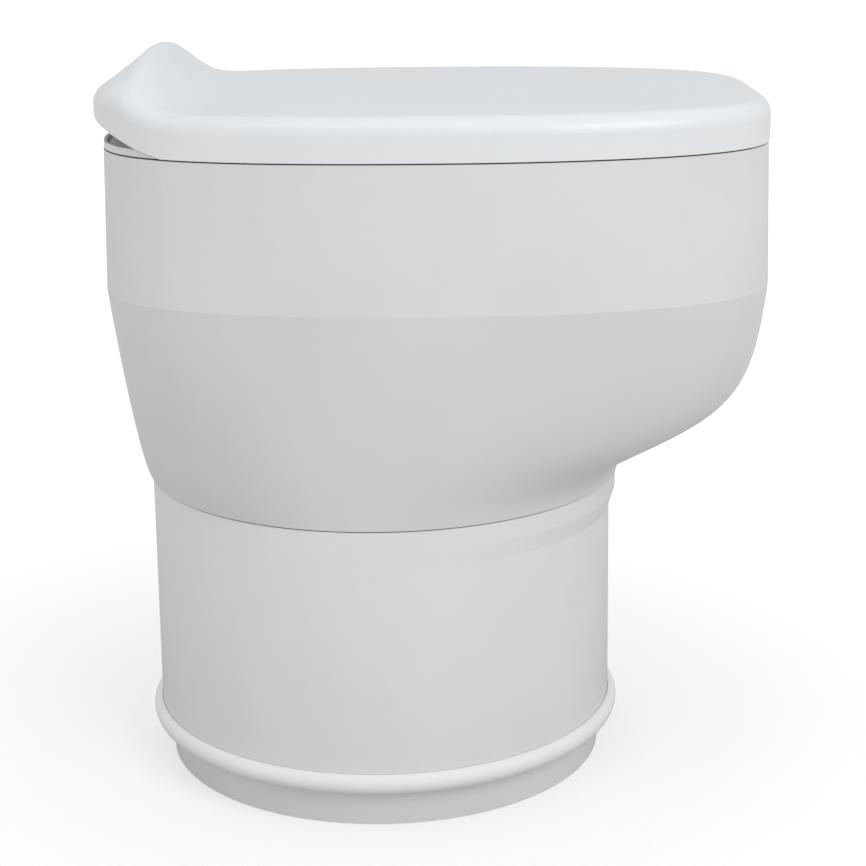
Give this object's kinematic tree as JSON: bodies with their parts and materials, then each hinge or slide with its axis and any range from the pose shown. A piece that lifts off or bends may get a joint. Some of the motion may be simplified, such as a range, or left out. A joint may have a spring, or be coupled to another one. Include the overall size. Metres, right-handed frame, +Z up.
{
  "type": "waterless toilet",
  "caption": "Waterless toilet: moulded bowl housing overhanging a round pedestal tube, with a bowl liner, drop-chute spigot, hinged seat ring and hooded hinged lid.",
  "frame": {"origin": "centre of the spigot's foot, at floor level on the pedestal's axis", "axes": "+Z up along the pedestal, +Y towards the lid hinge at the rear, -Y towards the front of the bowl, +X to the right seen from the front"},
  "size_m": [0.373, 0.4496, 0.5089],
  "materials": {
    "housing_plastic": "smooth satin-gloss moulded plastic",
    "tube_plastic": "smooth satin plastic",
    "ring_plastic": "smooth gloss plastic",
    "spigot_plastic": "matt extruded plastic",
    "liner_plastic": "smooth gloss plastic",
    "deck_plastic": "smooth gloss plastic",
    "seat_plastic": "polished plastic",
    "lid_plastic": "polished white plastic",
    "hinge_plastic": "fine matt plastic",
    "bush_plastic": "plain bearing plastic",
    "dark_rubber": "matt rubber",
    "pad_rubber": "matt soft rubber",
    "steel": "brushed stainless"
  },
  "bodies": {
    "root": {"outer_housing": "housing_plastic", "pedestal_tube": "tube_plastic", "neck_seal": "dark_rubber", "foot_ring": "ring_plastic", "chute_spigot": "spigot_plastic", "neck_screws": "steel", "spigot_screws": "steel", "ring_screws": "steel", "bowl_liner": "liner_plastic", "drop_chute": "liner_plastic", "chute_band": "steel", "liner_gasket": "dark_rubber", "deck_gasket": "dark_rubber", "rim_deck": "deck_plastic", "deck_screws": "steel", "rear_deck_screws": "steel", "hinge_bolts": "steel", "hinge_washers": "steel", "hinge_nuts": "steel", "hinge_block_left": "hinge_plastic", "hinge_block_right": "hinge_plastic", "hinge_pin_left": "steel", "hinge_pin_right": "steel", "retaining_clip_left": "steel", "retaining_clip_right": "steel"},
    "seat": {"seat": "seat_plastic", "seat_buffers": "pad_rubber", "seat_bush_left": "bush_plastic", "seat_bush_right": "bush_plastic"},
    "lid": {"lid": "lid_plastic", "lid_buffers": "pad_rubber", "lid_bush_left": "bush_plastic", "lid_bush_right": "bush_plastic"}
  },
  "joints": [
    {"name": "seat_hinge", "type": "hinge", "parent": "root", "child": "seat", "pos_m": [0, 0.159, 0.485], "axis": [-1, 0, 0], "range_deg": [0, 95]},
    {"name": "lid_hinge", "type": "hinge", "parent": "seat", "child": "lid", "pos_m": [0, 0.159, 0.485], "axis": [-1, 0, 0], "range_deg": [0, 100]}
  ]
}
